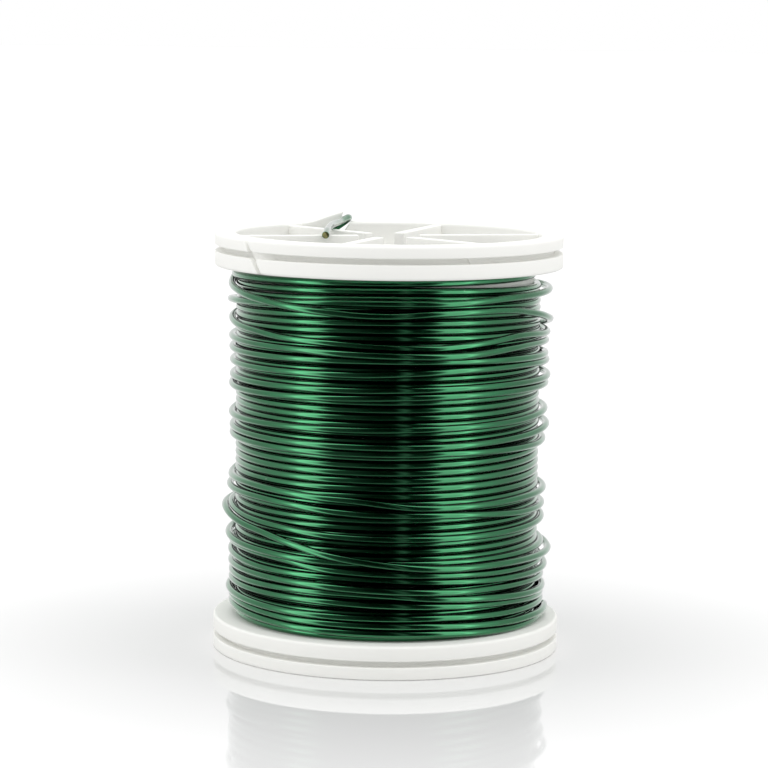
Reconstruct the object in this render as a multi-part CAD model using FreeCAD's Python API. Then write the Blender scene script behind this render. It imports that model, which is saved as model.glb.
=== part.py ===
import FreeCAD, Part
import math
import os

# Wire spool: one white moulding with a flange at each end, wound with enamelled copper wire.
# Millimetres. The spool stands on its lower flange: +Z is its axis, and the origin is the centre
# of the face that it stands on. Angles are in degrees, counted from +X towards +Y.

# Spool sizes
spool_height = 38.4
flange_diameter = 32.0
outer_disc_thickness = 1.2
groove_width = 0.6
inner_disc_thickness = 1.25
groove_depth = 0.9
edge_break = 0.15
rim_width = 2.0
rim_recess_depth = 2.3
flange_overhang = 2.65
barrel_wall = 0.95

# Ribs inside the barrel
rib_count = 6
rib_thickness = 1.0
rib_turn = 11.0
rib_setback = 0.22
spindle_passage = 5.8

# Slanted wire slits in the upper flange
slit_slant = 36.0
front_slit_angle = 216.3
front_slit_width = 0.4
front_slit_depth = 1.4
catch_slit_angle = 104.8
catch_slit_width = 1.0
catch_slit_skew = -14.8
catch_notch_angle = 109.8
wire_notch_depth = 1.1
notch_clearance = 0.05

# Pads left in the upper groove: from angle, to angle, how far they stay below the rim
groove_pads = ((225.4, 228.4, 0.2), (296.6, 304.0, 0.5))

# Catch tongue, cut from the outer disc and lifted by the wire
tongue_gap = 0.5
tongue_root_angle = 126.0
tongue_lift = 12.0
tongue_spring = 12.0
tongue_root_clearance = 3.0
tongue_tip_rounding = 0.9

# Wire
wire_diameter = 0.66
layer_clearance = 0.02
winding_end_clearance = 0.05
winding_loops = 9
wire_sides = 5
wire_top_gap = 0.4
lead_in_bend = 1.3

# The wire leaves the notch a little over the inner disc. Its free end then turns over the rim, crosses
# a rib and points forward: how far each point is inside the rim, its angle and its height over the rim
notch_exit_height = 0.4
notch_exit_bend = 2.5
free_end_points = (
    (0.50, 103.0, 0.55),
    (3.30, 111.6, 0.10),
    (6.50, 123.6, 0.22),
    (8.50, 139.2, 0.10),
    (9.78, 160.3, -0.44),
)
bend_share = 0.45

# Derived sizes
flange_radius = flange_diameter / 2
rim_inner_radius = flange_radius - rim_width
groove_floor_radius = flange_radius - groove_depth
flange_thickness = outer_disc_thickness + groove_width + inner_disc_thickness
barrel_radius = flange_radius - flange_overhang
barrel_bore_radius = barrel_radius - barrel_wall
winding_bottom = flange_thickness
winding_top = spool_height - flange_thickness
groove_bottom = winding_top + inner_disc_thickness
groove_top = groove_bottom + groove_width
wire_radius = wire_diameter / 2
inner_layer_radius = barrel_radius + wire_diameter
turn_radius = inner_layer_radius + layer_clearance + wire_radius
first_turn_level = winding_bottom + winding_end_clearance + wire_radius
last_turn_level = winding_top - wire_top_gap - wire_radius
turn_rise = (last_turn_level - first_turn_level) / winding_loops

# The notches lean with the slits. The wire runs straight through one, a little off its floor
slit_lean = math.tan(math.radians(slit_slant))
notch_width = (wire_diameter + 2 * notch_clearance) / math.cos(math.radians(slit_slant))
notch_floor_radius = flange_radius - wire_notch_depth
notch_half_turn = (spool_height - last_turn_level) * slit_lean / 2 / flange_radius
notch_wire_radius = (notch_floor_radius + notch_clearance + wire_radius) / math.cos(notch_half_turn)
lead_in_run = math.sqrt(notch_wire_radius**2 - turn_radius**2)
lead_in_level = last_turn_level + turn_rise * lead_in_run / (2 * math.pi * turn_radius)

Z_AXIS = FreeCAD.Vector(0, 0, 1)
ORIGIN = FreeCAD.Vector(0, 0, 0)
BEYOND = 1.0
SAME_PLACE = 0.01


def around(radius, angle, height):
    """The point at a radius, an angle and a height."""
    turn = math.radians(angle)
    return FreeCAD.Vector(radius * math.cos(turn), radius * math.sin(turn), height)


def degrees_of_arc(length, radius):
    """How many degrees a length takes up on a circle."""
    return math.degrees(length / radius)


def turned_face(points):
    """A flat face in the plane through the axis, from (radius, height) points."""
    corners = [FreeCAD.Vector(r, 0, z) for r, z in points]
    return Part.Face(Part.makePolygon(corners + corners[:1]))


def revolved(points, start=0.0, sweep=360.0):
    """A solid turned about the axis from (radius, height) points."""
    solid = turned_face(points).revolve(ORIGIN, Z_AXIS, sweep)
    solid.rotate(ORIGIN, Z_AXIS, start)
    return solid


def ring(inner, outer, low, high, start=0.0, sweep=360.0):
    """A plain ring, or a part of one."""
    return revolved([(inner, low), (outer, low), (outer, high), (inner, high)], start, sweep)


def slanted_slab(angle, inner, outer, low, high, before, after, skew=0.0):
    """A slit's space, which leans as it rises. On the rim's top corner it reaches before and after the angle.
    It points at the axis, or skew degrees off it."""
    slant = math.radians(slit_slant)
    reach = 2 * spool_height
    slab = Part.makeBox(2 * flange_radius, (before + after) * math.cos(slant), reach)
    slab.translate(FreeCAD.Vector(-flange_radius, -before * math.cos(slant), -reach / 2))
    slab.rotate(ORIGIN, FreeCAD.Vector(1, 0, 0), slit_slant)
    slab.rotate(ORIGIN, Z_AXIS, angle + skew)
    slab.translate(around(flange_radius, angle, spool_height))
    return slab.common(ring(inner, outer, low, high))


def disc_profile(inner, low, high):
    """The section of the outer disc, with its outer top corner broken."""
    c = edge_break
    return [
        (inner, low),
        (flange_radius, low),
        (flange_radius, high - c),
        (flange_radius - c, high),
        (inner, high),
    ]


def upper_ring():
    """A whole flange at the top: two discs, the groove between them, and the recess inside the rim."""
    c = edge_break
    section = [
        (barrel_bore_radius, winding_top),
        (flange_radius - c, winding_top),
        (flange_radius, winding_top + c),
        (flange_radius, groove_bottom),
        (groove_floor_radius, groove_bottom),
        (groove_floor_radius, groove_top),
        (flange_radius, groove_top),
        (flange_radius, spool_height - c),
        (flange_radius - c, spool_height),
        (rim_inner_radius, spool_height),
        (rim_inner_radius, spool_height - rim_recess_depth),
        (barrel_bore_radius, spool_height - rim_recess_depth),
    ]
    return revolved(section)


def upside_down(solid):
    """The same solid at the other end of the spool."""
    other = solid.copy()
    other.rotate(FreeCAD.Vector(0, 0, spool_height / 2), FreeCAD.Vector(1, 0, 0), 180)
    return other


def tongue_space():
    """What the catch tongue and its slots take from the flange."""
    inner = rim_inner_radius - BEYOND
    outer = flange_radius + BEYOND
    top = spool_height + BEYOND
    lean = (top - groove_bottom) * slit_lean
    start = catch_slit_angle + degrees_of_arc(lean, flange_radius)
    half = catch_slit_width / 2
    slit = slanted_slab(catch_slit_angle, inner, outer, groove_bottom, top, half, 2 * lean, catch_slit_skew)
    place = ring(inner, outer, groove_bottom, top, start, tongue_root_angle - start)
    return slit.fuse(place).fuse(root_wedge(inner, outer))


def root_wedge(inner, outer):
    """The V over the tongue's root that lets it swing up."""
    opening = math.radians(tongue_lift + tongue_spring + tongue_root_clearance)
    depth = outer_disc_thickness + BEYOND
    corners = [
        FreeCAD.Vector(inner, 0, groove_top),
        FreeCAD.Vector(inner, depth * math.tan(opening), groove_top + depth),
        FreeCAD.Vector(inner, -BEYOND, groove_top + depth),
        FreeCAD.Vector(inner, -BEYOND, groove_top),
    ]
    wedge = Part.Face(Part.makePolygon(corners + corners[:1])).extrude(FreeCAD.Vector(outer - inner, 0, 0))
    wedge.rotate(ORIGIN, Z_AXIS, tongue_root_angle)
    return wedge


def upper_flange():
    """The upper flange, with both slits, the pads in its groove and the place of the tongue."""
    outer = flange_radius + BEYOND
    flange = upper_ring()
    for start, end, below in groove_pads:
        pad = ring(rim_inner_radius, flange_radius - below, groove_bottom, groove_top, start, end - start)
        flange = flange.fuse(pad)
    half = front_slit_width / 2
    top = spool_height + BEYOND
    slit_floor = flange_radius - front_slit_depth
    flange = flange.cut(slanted_slab(front_slit_angle, slit_floor, outer, groove_bottom, top, half, half))
    half = notch_width / 2
    low = winding_top - BEYOND
    for angle in (front_slit_angle, catch_notch_angle):
        flange = flange.cut(slanted_slab(angle, notch_floor_radius, outer, low, groove_top, half, half))
    return flange.cut(tongue_space()).removeSplitter()


def hinge_point():
    """The middle of the tongue's root, on its lower face."""
    return around((rim_inner_radius + flange_radius) / 2, tongue_root_angle, groove_top)


def catch_tongue():
    """The catch tongue, lifted to where the wire holds it."""
    start = catch_slit_angle - degrees_of_arc(rim_width, flange_radius)
    section = disc_profile(rim_inner_radius, groove_top, spool_height)
    tongue = revolved(section, start, tongue_root_angle - start)
    inner = rim_inner_radius - BEYOND
    outer = flange_radius + BEYOND
    top = spool_height + BEYOND
    tip = tongue_gap - catch_slit_width / 2
    before = flange_radius / 2
    beyond_tip = slanted_slab(catch_slit_angle, inner, outer, winding_top, top, before, tip, catch_slit_skew)
    tongue = tongue.cut(beyond_tip)
    tongue = tongue.makeFillet(tongue_tip_rounding, tip_lower_edges(tongue))
    tongue.rotate(hinge_point(), around(-1, tongue_root_angle, 0), tongue_lift)
    return tongue


def tip_lower_edges(tongue):
    """The straight edge across the tongue under its tip."""
    found = []
    middle_angle = (catch_slit_angle + tongue_root_angle) / 2
    for edge in tongue.Edges:
        flat = edge.BoundBox.ZMax - groove_top < SAME_PLACE
        across = edge.Length > rim_width / 2 and isinstance(edge.Curve, Part.Line)
        middle = edge.valueAt((edge.FirstParameter + edge.LastParameter) / 2)
        near_tip = math.degrees(math.atan2(middle.y, middle.x)) < middle_angle
        if flat and across and near_tip:
            found.append(edge)
    return found


def barrel():
    """The thin wall between the flanges that the wire is wound on."""
    return ring(barrel_bore_radius, barrel_radius, winding_bottom, winding_top)


def rib(number):
    """One radial rib, from the spindle's passage out to the barrel's bore and to each rim."""
    low = rib_setback
    high = spool_height - rib_setback
    plate = Part.makeBox(flange_radius, rib_thickness, high - low)
    plate.translate(FreeCAD.Vector(spindle_passage / 2, -rib_thickness / 2, low))
    room = Part.makeCylinder(barrel_bore_radius, spool_height)
    lower_recess = Part.makeCylinder(rim_inner_radius, rim_recess_depth)
    upper_recess = lower_recess.copy()
    upper_recess.translate(FreeCAD.Vector(0, 0, spool_height - rim_recess_depth))
    plate = plate.common(room.fuse(lower_recess).fuse(upper_recess))
    plate.rotate(ORIGIN, Z_AXIS, rib_turn + number * 360.0 / rib_count)
    return plate


def arc_from(start, heading, end):
    """The arc that leaves start along heading and reaches end."""
    chord = end - start
    side = heading - chord * (heading.dot(chord) / chord.dot(chord))
    turn = heading.getAngle(chord)
    side.normalize()
    return Part.Arc(start, start + chord * 0.5 + side * (chord.Length / 2 * math.tan(turn / 2)), end)


def biarc(start, heading, end, arrival):
    """Two arcs that meet smoothly, from a point and heading to a point and heading."""
    chord = end - start
    both = heading + arrival
    spread = 2 * (1 - heading.dot(arrival))
    reach = (-chord.dot(both) + math.sqrt(chord.dot(both) ** 2 + spread * chord.dot(chord))) / spread
    middle = (start + end + (heading - arrival) * reach) * 0.5
    second = arc_from(end, arrival * -1, middle)
    return [arc_from(start, heading, middle).toShape(), second.toShape()]


def winding_turns():
    """Points and headings of the outer layer, one for each half turn, from its lower end up."""
    halves = 2 * winding_loops
    end_angle = notch_foot_angle() + math.degrees(math.acos(turn_radius / notch_wire_radius))
    turns = []
    for half in range(halves + 1):
        angle = end_angle + 180.0 * (halves - half)
        point = around(turn_radius, angle, first_turn_level + turn_rise * half / 2)
        heading = around(turn_radius, angle - 90, turn_rise / (2 * math.pi))
        heading.normalize()
        turns.append((point, heading))
    return turns


def notch_foot_angle():
    """Where the straight tangent from the last turn meets the leaning notch."""
    return notch_angle_at(lead_in_level)


def notch_angle_at(height):
    """Where the wire is at a height inside the leaning notch."""
    return catch_notch_angle + degrees_of_arc((spool_height - height) * slit_lean, notch_wire_radius)


def wire_profile(point, heading):
    """The wire's section, square to its heading."""
    corners = []
    side = heading.cross(Z_AXIS)
    side.normalize()
    up = side.cross(heading)
    for corner in range(wire_sides + 1):
        a = 2 * math.pi * corner / wire_sides
        corners.append(point + side * (wire_radius * math.cos(a)) + up * (wire_radius * math.sin(a)))
    return Part.makePolygon(corners)


def swept(path_edges, profile):
    """A solid swept along a path."""
    return Part.Wire(path_edges).makePipeShell([profile], True, False)


def wire_outer_layer():
    """The outer layer of turns: one unbroken tube over the wound core."""
    turns = winding_turns()
    start, heading = turns[0]
    tail = start - heading * wire_diameter
    edges = [Part.makeLine(tail, start)]
    for (a, a_heading), (b, b_heading) in zip(turns, turns[1:]):
        edges.extend(biarc(a, a_heading, b, b_heading))
    end, end_heading = turns[-1]
    edges.append(Part.makeLine(end, end + end_heading * wire_diameter))
    return swept(edges, wire_profile(tail, heading)), edges


def least_gap(edges):
    """The least gap between neighbouring turns, measured between points along the path."""
    steps = 24
    edges_per_turn = 4
    points = []
    for edge in edges:
        points.extend(edge.discretize(steps + 1)[:-1])
    per_turn = edges_per_turn * steps
    least = None
    for i, point in enumerate(points):
        for other in points[i + per_turn // 2 : i + 2 * per_turn]:
            gap = point.distanceToPoint(other) - wire_diameter
            least = gap if least is None else min(least, gap)
    return least


def rounded_path(points, limits):
    """Straight runs joined by tangent arcs, as large as the runs allow or as a limit says."""
    edges = []
    last = points[0]
    for before, corner, after, limit in zip(points, points[1:], points[2:], limits):
        inward = corner - before
        outward = after - corner
        half_turn = inward.getAngle(outward) / 2
        radius = min(bend_share * min(inward.Length, outward.Length) / math.tan(half_turn), limit)
        reach = radius * math.tan(half_turn)
        inward.normalize()
        outward.normalize()
        arc_start = corner - inward * reach
        arc_end = corner + outward * reach
        edges.append(Part.makeLine(last, arc_start))
        edges.append(arc_from(arc_start, inward, arc_end).toShape())
        print("bend radius %.2f mm at a turn of %.0f degrees" % (radius, math.degrees(2 * half_turn)))
        last = arc_end
    edges.append(Part.makeLine(last, points[-1]))
    return edges


def wire_free_end(start):
    """The wire from the winding's end, up through the notch and over the rim to its cut end."""
    foot = around(notch_wire_radius, notch_foot_angle(), lead_in_level)
    exit_height = groove_bottom + notch_exit_height
    leave = around(notch_wire_radius, notch_angle_at(exit_height), exit_height)
    points = [start, foot, leave]
    for inside, angle, over_rim in free_end_points:
        points.append(around(flange_radius - inside, angle, spool_height + over_rim))
    free = 2 * flange_diameter
    limits = [lead_in_bend, notch_exit_bend] + [free] * (len(points) - 4)
    edges = rounded_path(points, limits)
    first = points[1] - points[0]
    first.normalize()
    solid = swept(edges, wire_profile(start, first))
    length = sum(edge.Length for edge in edges)
    expected = wire_sides / 2 * math.sin(2 * math.pi / wire_sides) * wire_radius**2 * length
    print("free end length %.2f mm, volume %.4f of its section times its length" % (length, solid.Volume / expected))
    return solid


def main():
    os.makedirs("parts", exist_ok=True)
    outer_layer, path = wire_outer_layer()
    end = path[-1].valueAt(path[-1].LastParameter)
    pieces = {
        "upper_flange": upper_flange(),
        "lower_flange": upside_down(upper_ring()),
        "catch_tongue": catch_tongue(),
        "barrel": barrel(),
        "wire_inner_layers": ring(barrel_radius, inner_layer_radius, winding_bottom, winding_top),
        "wire_outer_layer": outer_layer,
        "wire_free_end": wire_free_end(end),
    }
    for number in range(rib_count):
        pieces["rib_%d" % (number + 1)] = rib(number)
    for name, shape in pieces.items():
        shape.exportStep("parts/%s.step" % name)
        print("%-20s solids %d valid %s volume %.3f" % (name, len(shape.Solids), shape.isValid(), shape.Volume))
    print("least gap between turns %.3f mm" % least_gap(path))


main()
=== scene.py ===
import bpy
import bmesh
import math
import random
from bpy.props import FloatProperty, FloatVectorProperty, IntProperty, PointerProperty
from mathutils import Matrix, Vector


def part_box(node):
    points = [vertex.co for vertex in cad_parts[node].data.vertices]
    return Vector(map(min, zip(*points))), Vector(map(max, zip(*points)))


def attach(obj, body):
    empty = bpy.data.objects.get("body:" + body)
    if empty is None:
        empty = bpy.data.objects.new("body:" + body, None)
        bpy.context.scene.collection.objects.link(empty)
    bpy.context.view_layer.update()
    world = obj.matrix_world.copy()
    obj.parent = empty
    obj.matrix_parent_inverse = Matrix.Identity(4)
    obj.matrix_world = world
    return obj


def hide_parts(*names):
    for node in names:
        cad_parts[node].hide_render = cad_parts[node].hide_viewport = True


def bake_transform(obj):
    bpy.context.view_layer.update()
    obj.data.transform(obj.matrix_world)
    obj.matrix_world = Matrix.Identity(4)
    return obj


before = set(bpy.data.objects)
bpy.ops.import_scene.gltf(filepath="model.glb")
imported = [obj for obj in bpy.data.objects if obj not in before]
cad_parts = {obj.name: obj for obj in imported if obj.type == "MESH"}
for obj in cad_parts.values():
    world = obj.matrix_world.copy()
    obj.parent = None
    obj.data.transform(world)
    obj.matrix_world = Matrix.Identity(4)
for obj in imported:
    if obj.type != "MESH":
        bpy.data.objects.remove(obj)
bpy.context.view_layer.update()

bl_info = {
    "name": "Wire Spool",
    "version": (1, 0, 0),
    "blender": (4, 5, 0),
    "location": "View3D > Sidebar > Wire Spool",
    "description": "Builds a small plastic spool wound with green enamelled copper wire",
    "category": "Object",
}

# The wire spool stands on its lower flange: +Z is its axis and -Y is the side that the picture shows.
# Sizes in this file are millimetres unless a name says otherwise, and angles are degrees from +X
# towards +Y. Meshes are made in millimetres and scaled once, by MM.
MM = 0.001


def node_size(node):
    """The low and high corner of a CAD node, in millimetres."""
    low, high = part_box(node)
    return low / MM, high / MM


upper_low, upper_high = node_size("upper_flange")
lower_high = node_size("lower_flange")[1]
barrel_high = node_size("barrel")[1]
rib_low, rib_high = node_size("rib_1")

SPOOL_HEIGHT = round(upper_high.z, 3)
FLANGE_RADIUS = round(upper_high.x, 3)
WINDING_BOTTOM = round(lower_high.z, 3)
WINDING_TOP = round(upper_low.z, 3)
BARREL_RADIUS = round(barrel_high.x, 3)


# Sizes and colours a user may change


def length(name, description, millimetres):
    return FloatProperty(name=name, description=description, default=millimetres * MM, unit="LENGTH")


def colour(name, description, default):
    return FloatVectorProperty(
        name=name, description=description, default=default, subtype="COLOR", size=3, min=0, max=1
    )


class SpoolSizes(bpy.types.PropertyGroup):
    disc_thickness: length("Outer disc", "Thickness of each flange's outer disc", 1.13)
    groove_width: length("Groove width", "Width of the wire groove round each flange", 0.55)
    groove_depth: length("Groove depth", "Depth of the wire groove round each flange", 0.9)
    rim_width: length("Rim width", "Width of the plain ring that the spool stands on", 2.0)
    recess_depth: length("Recess depth", "Depth of the recess inside each rim", 2.3)
    barrel_wall: length("Barrel wall", "Wall of the barrel between the flanges", 0.95)
    edge_rounding: length("Edge rounding", "Radius on the outer edges of the moulding", 0.26)
    rib_count: IntProperty(name="Ribs", description="Radial ribs inside the barrel", default=6, min=3, max=12)
    rib_thickness: length("Rib thickness", "Thickness of each rib", 1.0)
    first_rib: FloatProperty(
        name="First rib", description="Angle of the first rib", default=math.radians(11.0), subtype="ANGLE",
        unit="ROTATION"
    )
    spindle_passage: length("Spindle passage", "Clear way between the rib ends", 5.8)


class WireSizes(bpy.types.PropertyGroup):
    diameter: length("Wire diameter", "Diameter over the enamel", 0.66)
    film: length("Enamel film", "Thickness of the enamel on the copper", 0.03)
    lower_sides: IntProperty(
        name="Lower layer sides", description="Sides of the first layer's tube", default=16, min=6, max=24
    )
    upper_sides: IntProperty(
        name="Upper layer sides", description="Sides of the upper turns' tube", default=20, min=6, max=24
    )


class SpoolColours(bpy.types.PropertyGroup):
    plastic: colour("Plastic", "White moulded plastic", (0.90, 0.905, 0.80))
    enamel: colour("Enamel", "Copper seen through green enamel", (0.008, 0.200, 0.066))
    copper: colour("Copper", "Cut face of the wire", (0.33, 0.32, 0.15))


# Materials

PARTING_ANGLE = 308.0
DRAW_MARK_LENGTH = 7.0


def new_material(name):
    """An empty node material, its tree and its output node."""
    material = bpy.data.materials.new(name)
    material.use_nodes = True
    material.node_tree.nodes.clear()
    output = material.node_tree.nodes.new("ShaderNodeOutputMaterial")
    return material, material.node_tree, output


def set_sockets(tree, node, inputs):
    """Sets or links a node's sockets, by name or number."""
    for key, value in inputs:
        if isinstance(value, bpy.types.NodeSocket):
            tree.links.new(value, node.inputs[key])
        else:
            node.inputs[key].default_value = value


def add_node(tree, kind, inputs=None, **settings):
    """A node with its settings and its sockets set or linked."""
    node = tree.nodes.new(kind)
    for key, value in settings.items():
        setattr(node, key, value)
    set_sockets(tree, node, (inputs or {}).items())
    return node


def math_node(tree, operation, *values):
    """The result of one sum on numbers or sockets."""
    return add_node(tree, "ShaderNodeMath", dict(enumerate(values)), operation=operation).outputs[0]


def smooth_step(tree, value, low, high, start=0.0, end=1.0):
    """A value carried smoothly from one range to another."""
    node = add_node(
        tree, "ShaderNodeMapRange",
        {"Value": value, "From Min": low, "From Max": high, "To Min": start, "To Max": end},
        interpolation_type="SMOOTHSTEP"
    )
    return node.outputs["Result"]


def mix_colour(tree, factor, first, second, blend="MIX"):
    """Two colours mixed."""
    node = tree.nodes.new("ShaderNodeMix")
    node.data_type = "RGBA"
    node.blend_type = blend
    set_sockets(tree, node, ((0, factor), (6, first), (7, second)))
    return node.outputs[2]


def noise(tree, place, scale, detail):
    """A cloudy random pattern, from 0 to 1."""
    node = add_node(tree, "ShaderNodeTexNoise", {"Vector": place, "Scale": scale, "Detail": detail})
    return node.outputs["Fac"]


def specks(tree, place, scale, channel, rarity, inner, outer):
    """Rare round specks: 1 on a speck, falling to 0 between its inner and outer size."""
    cells = add_node(tree, "ShaderNodeTexVoronoi", {"Vector": place, "Scale": scale, "Randomness": 1.0})
    sort = add_node(tree, "ShaderNodeSeparateColor", {"Color": cells.outputs["Color"]}).outputs[channel]
    rare = math_node(tree, "GREATER_THAN", sort, rarity)
    near = smooth_step(tree, cells.outputs["Distance"], inner, outer, 1.0, 0.0)
    return math_node(tree, "MULTIPLY", rare, near)


def bump(tree, height, strength, distance):
    """The normal of a fine relief, its distance in millimetres."""
    inputs = {"Height": height, "Strength": strength, "Distance": distance * MM}
    return add_node(tree, "ShaderNodeBump", inputs).outputs["Normal"]


def end_material(tree, output, inputs):
    """Ends a material with its one shader."""
    shader = add_node(tree, "ShaderNodeBsdfPrincipled", inputs)
    tree.links.new(shader.outputs["BSDF"], output.inputs["Surface"])


def tinted(base, red=1.0, green=1.0, blue=1.0):
    """A colour for a node's socket, with its parts scaled."""
    return (base[0] * red, base[1] * green, base[2] * blue, 1.0)


def grey(level):
    return (level, level, level, 1.0)


def white_plastic():
    """Semi-matt moulded white plastic, with its parting line, faint flow marks and a few specks. It isn't in
    use: the frame brings a plain material of this name, and made() takes that one."""
    colours = bpy.context.scene.spool_colours
    material, tree, output = new_material("white_plastic")
    place = tree.nodes.new("ShaderNodeTexCoord").outputs["Object"]
    cloud = noise(tree, place, 160.0, 3.0)
    fine = noise(tree, place, 2600.0, 4.0)
    speck = specks(tree, place, 420.0, 0, 0.93, 0.03, 0.07)

    turn = math.radians(PARTING_ANGLE)
    sideways = (-math.sin(turn), math.cos(turn), 0.0)
    across = add_node(
        tree, "ShaderNodeVectorMath", {0: place, 1: sideways}, operation="DOT_PRODUCT"
    ).outputs["Value"]
    line = smooth_step(tree, math_node(tree, "ABSOLUTE", across), 0.02 * MM, 0.09 * MM, 1.0, 0.0)

    warm = tinted(colours.plastic, 0.985, 0.98, 0.945)
    tone = mix_colour(tree, smooth_step(tree, cloud, 0.35, 0.7), tinted(colours.plastic), warm)
    tone = mix_colour(tree, math_node(tree, "MULTIPLY", line, 0.10), tone, (0.45, 0.45, 0.40, 1.0))
    tone = mix_colour(tree, math_node(tree, "MULTIPLY", speck, 0.35), tone, (0.22, 0.21, 0.18, 1.0))
    height = math_node(tree, "ADD", math_node(tree, "MULTIPLY", fine, 0.35), line)
    end_material(tree, output, {
        "Base Color": tone, "Roughness": smooth_step(tree, cloud, 0.3, 0.7, 0.36, 0.46), "IOR": 1.49,
        "Normal": bump(tree, height, 0.22, 0.012),
        "Subsurface Weight": 0.45, "Subsurface Radius": (1.0, 1.0, 0.85), "Subsurface Scale": 1.0 * MM,
    })
    return material


def green_enamel():
    """Copper under clear green enamel: a tinted metal below a glossy coat, with faint draw marks and dust.
    Where other glossy surfaces see it, it is made near black: painted shade between the turns.
    """
    colours = bpy.context.scene.spool_colours
    material, tree, output = new_material("green_enamel")
    place = tree.nodes.new("ShaderNodeTexCoord").outputs["Object"]
    along = add_node(tree, "ShaderNodeAttribute", attribute_name="along").outputs["Fac"]
    patches = noise(tree, place, 420.0, 3.0)
    pits = noise(tree, place, 4200.0, 2.0)
    speck = specks(tree, place, 900.0, 1, 0.965, 0.04, 0.09)
    steps = math_node(tree, "MULTIPLY", along, 1.0 / (DRAW_MARK_LENGTH * MM))
    draw_marks = add_node(
        tree, "ShaderNodeTexNoise", {"W": steps, "Scale": 1.0, "Detail": 2.0}, noise_dimensions="1D"
    ).outputs["Fac"]

    green = tinted(colours.enamel)
    deep = tinted(green, 0.72, 0.82, 0.78)
    tone = mix_colour(tree, smooth_step(tree, patches, 0.3, 0.7), green, deep)
    tone = mix_colour(tree, smooth_step(tree, draw_marks, 0.3, 0.8, 0.0, 0.35), tone, deep)
    tone = mix_colour(tree, math_node(tree, "MULTIPLY", speck, 0.6), tone, (0.35, 0.42, 0.36, 1.0))
    # Painted shade: where other glossy surfaces see the enamel it is made near black, so the gaps between the
    # turns stay dark
    seen_by_glossy_ray = tree.nodes.new("ShaderNodeLightPath").outputs["Is Glossy Ray"]
    painted_gap_shade = math_node(tree, "MULTIPLY", seen_by_glossy_ray, 0.85)
    tone = mix_colour(tree, painted_gap_shade, tone, (0.001, 0.012, 0.004, 1.0))
    end_material(tree, output, {
        "Base Color": tone, "Metallic": 1.0, "Roughness": smooth_step(tree, patches, 0.3, 0.7, 0.085, 0.13),
        "IOR": 1.5, "Normal": bump(tree, pits, 0.10, 0.008),
        "Coat Weight": 1.0, "Coat Roughness": 0.03, "Coat IOR": 1.55,
    })
    return material


def cut_copper():
    """The wire's cut face: dull copper with the cutters' marks across it."""
    copper = bpy.context.scene.spool_colours.copper
    material, tree, output = new_material("cut_copper")
    place = tree.nodes.new("ShaderNodeTexCoord").outputs["Object"]
    marks = add_node(
        tree, "ShaderNodeTexWave", {"Vector": place, "Scale": 900.0, "Distortion": 3.0, "Detail": 2.0},
        bands_direction="DIAGONAL"
    ).outputs["Fac"]
    dull = tinted(copper, 0.25, 0.25, 0.25)
    tone = mix_colour(tree, smooth_step(tree, marks, 0.2, 0.8), tinted(copper), dull)
    normal = bump(tree, marks, 0.5, 0.02)
    end_material(tree, output, {"Base Color": tone, "Metallic": 1.0, "Roughness": 0.42, "Normal": normal})
    return material


def made(name, build):
    """The material of this name: the frame's own if it brings one, or else built when first asked for."""
    return bpy.data.materials.get(name) or build()


# Meshes

SMOOTH_ANGLE = 35.0
CORNER_STEPS = 5


def placed(name, data):
    """An object for a mesh, curve, lamp or camera, put into the scene."""
    holder = bpy.data.objects.new(name, data)
    bpy.context.scene.collection.objects.link(holder)
    return holder


def moulded(name, vertices, faces):
    """A solid of white plastic at the origin, from points in millimetres."""
    mesh = bpy.data.meshes.new(name)
    mesh.from_pydata([Vector(v) * MM for v in vertices], [], faces)
    finish_mesh(mesh)
    mesh.materials.append(made("white_plastic", white_plastic))
    return placed(name, mesh)


def finish_mesh(mesh):
    """Merges doubles, turns all faces outwards and keeps sharp corners sharp."""
    work = bmesh.new()
    work.from_mesh(mesh)
    bmesh.ops.remove_doubles(work, verts=work.verts, dist=1e-8)
    bmesh.ops.recalc_face_normals(work, faces=work.faces)
    if work.calc_volume(signed=True) < 0:
        bmesh.ops.reverse_faces(work, faces=work.faces)
    work.to_mesh(mesh)
    work.free()
    mesh.shade_smooth()
    mesh.set_sharp_from_angle(angle=math.radians(SMOOTH_ANGLE))


def settled_mesh(piece, name):
    """The mesh that a piece's modifiers give, as a plain piece of its own."""
    graph = bpy.context.evaluated_depsgraph_get()
    mesh = bpy.data.meshes.new_from_object(piece.evaluated_get(graph))
    mesh.name = name
    bpy.data.objects.remove(piece)
    return placed(name, mesh)


def cylinder_point(radius, angle, height):
    turn = math.radians(angle)
    return Vector((radius * math.cos(turn), radius * math.sin(turn), height))


def rounded_outline(corners):
    """A closed outline whose corners (x, y, radius) are rounded."""
    outline = []
    for i, (x, y, radius) in enumerate(corners):
        corner = Vector((x, y))
        if radius <= 0:
            outline.append(corner)
            continue
        before = Vector(corners[i - 1][:2]) - corner
        after = Vector(corners[(i + 1) % len(corners)][:2]) - corner
        half = before.angle(after) / 2
        reach = radius / math.tan(half)
        start = corner + before.normalized() * reach
        end = corner + after.normalized() * reach
        centre = corner + (before.normalized() + after.normalized()).normalized() * (radius / math.sin(half))
        first = (start - centre).normalized()
        last = (end - centre).normalized()
        for step in range(CORNER_STEPS + 1):
            outline.append(centre + first.slerp(last, step / CORNER_STEPS) * radius)
    return outline


def band(here, there, count):
    """Faces between two closed outlines, given by the numbers of their first points."""
    faces = []
    for i in range(count):
        j = (i + 1) % count
        faces.append((here + i, here + j, there + j, there + i))
    return faces


def closed_strip(count, sections):
    """Faces of a strip of like outlines one after another, with both ends closed."""
    faces = [tuple(range(count)), tuple(range(sections * count, (sections + 1) * count))]
    for section in range(sections):
        faces += band(section * count, (section + 1) * count, count)
    return faces


def turned_ring(outline, segments):
    """Vertices and faces of a closed outline (radius, height) turned all the way round."""
    vertices = []
    faces = []
    count = len(outline)
    for s in range(segments):
        vertices += [cylinder_point(point.x, 360.0 * s / segments, point.y) for point in outline]
        faces += band(s * count, (s + 1) % segments * count, count)
    return vertices, faces


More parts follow.
